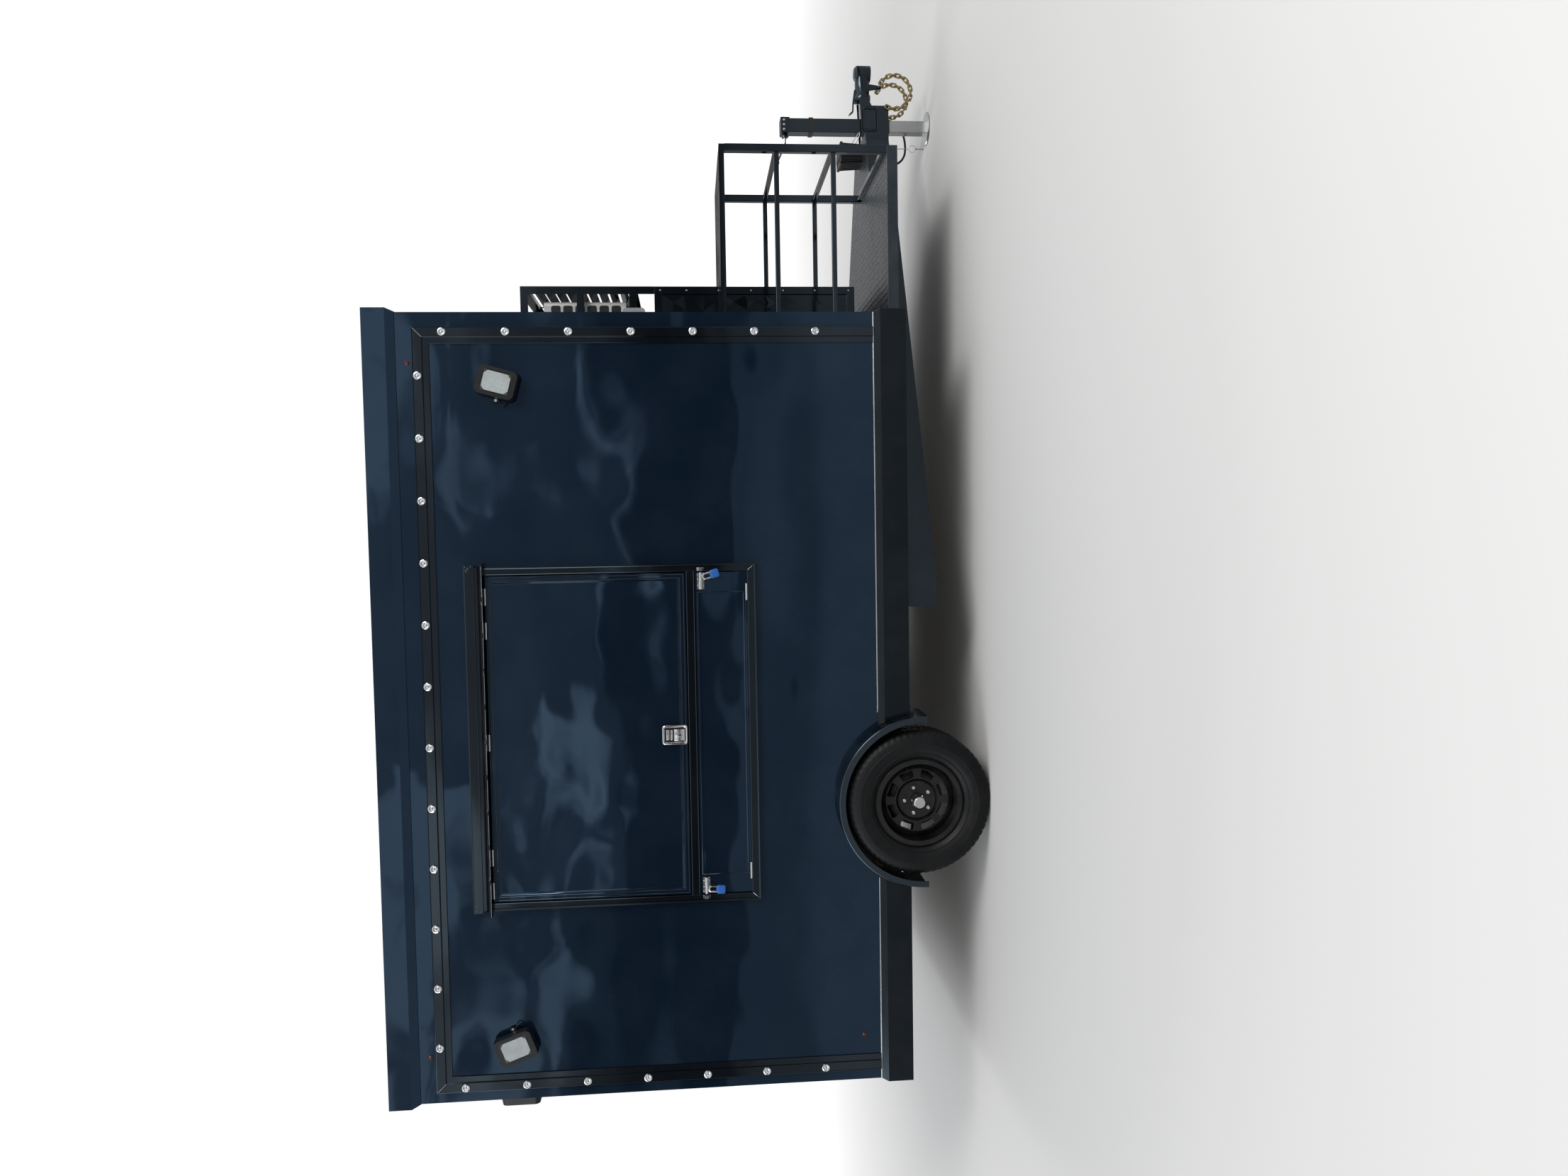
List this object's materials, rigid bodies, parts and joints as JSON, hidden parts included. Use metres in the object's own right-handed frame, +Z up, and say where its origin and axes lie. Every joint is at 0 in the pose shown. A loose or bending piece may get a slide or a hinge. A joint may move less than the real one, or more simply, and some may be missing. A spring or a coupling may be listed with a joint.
{
  "type": "food trailer",
  "caption": "Single-axle food trailer with a lift-up serving hatch and fold-down shelf, rear door, front porch with generator cage and rack, drop-leg jack and ball coupler.",
  "frame": {"origin": "on the ground under the middle of the whole trailer's length and width", "axes": "+X forward to the coupler, +Y to the left side, +Z up; the serving window faces -Y"},
  "size_m": [5.332, 2.628, 2.847],
  "materials": {
    "black_steel": "gloss",
    "body_navy": "gloss",
    "bright_steel": "satin",
    "tread_plate": "satin",
    "floor_board": "matte",
    "clear_lens": "gloss",
    "amber_lens": "gloss",
    "red_lens": "gloss",
    "flood_glass": "gloss",
    "chrome": "polished",
    "padlock_blue": "gloss",
    "black_plastic": "matte",
    "grey_plastic": "satin",
    "unit_white": "satin",
    "black_sheet": "gloss",
    "tyre": "matte",
    "rim_black": "gloss",
    "gold_zinc": "satin",
    "hub_steel": "matte"
  },
  "bodies": {
    "trailer": {"frame_rails": "black_steel", "cross_members": "black_steel", "tongue_frame": "black_steel", "axle_beam": "black_steel", "leaf_springs": "black_steel", "floor_deck": "floor_board", "wall_right": "body_navy", "wall_left": "body_navy", "wall_front": "body_navy", "wall_rear": "body_navy", "roof_panel": "body_navy", "roof_cap": "body_navy", "side_skirt": "black_steel", "light_channel": "black_steel", "bullet_lights": "clear_lens", "marker_lights": "amber_lens", "window_frame": "black_steel", "bolt_keepers": "chrome", "floodlights": "black_plastic", "flood_lenses": "flood_glass", "fenders": "black_steel", "wheel_wells": "floor_board", "porch_deck": "tread_plate", "cage_rails": "black_steel", "cage_lid": "black_sheet", "rack_frame": "black_steel", "rack_guard": "black_steel", "ac_unit": "unit_white", "utility_cabinet": "black_sheet", "power_box": "grey_plastic", "jack_tube": "black_steel", "coupler": "black_steel", "safety_chains": "gold_zinc", "battery_box": "black_plastic", "trailer_cable": "black_plastic", "cable_plug": "black_plastic", "cable_fittings": "black_steel", "door_frame": "black_steel", "tail_lights": "red_lens", "plate_bracket": "black_plastic"},
    "wheel_right": {"tyre_right": "tyre", "rim_right": "rim_black", "hub_right": "hub_steel", "hub_cap_right": "chrome"},
    "wheel_left": {"tyre_left": "tyre", "rim_left": "rim_black", "hub_left": "hub_steel", "hub_cap_left": "chrome"},
    "hatch": {"hatch_door": "body_navy", "paddle_latch": "chrome"},
    "shelf": {"serving_shelf": "body_navy", "shelf_bolts": "chrome", "padlocks": "padlock_blue"},
    "rear_door": {"entry_door": "body_navy", "door_handle": "chrome"},
    "jack_foot": {"jack_leg": "bright_steel"}
  },
  "joints": [
    {"name": "wheel_right_spin", "type": "hinge", "parent": "trailer", "child": "wheel_right", "pos_m": [-1.252, -1.1975, 0.343], "axis": [0, 1, 0], "continuous": true},
    {"name": "wheel_left_spin", "type": "hinge", "parent": "trailer", "child": "wheel_left", "pos_m": [-1.252, 1.1975, 0.343], "axis": [0, 1, 0], "continuous": true},
    {"name": "hatch_lift", "type": "hinge", "parent": "trailer", "child": "hatch", "pos_m": [-0.9, -1.244, 2.3357], "axis": [-1, 0, 0], "range_deg": [0, 90]},
    {"name": "shelf_fold", "type": "hinge", "parent": "trailer", "child": "shelf", "pos_m": [-0.9, -1.244, 1.141], "axis": [1, 0, 0], "range_deg": [0, 90]},
    {"name": "rear_door_swing", "type": "hinge", "parent": "trailer", "child": "rear_door", "pos_m": [-2.618, 0.4265, 1.5], "axis": [0, 0, -1], "range_deg": [0, 120]},
    {"name": "jack_drop", "type": "slide", "parent": "trailer", "child": "jack_foot", "axis": [0, 0, 1], "range_m": [0, 0.2]}
  ]
}
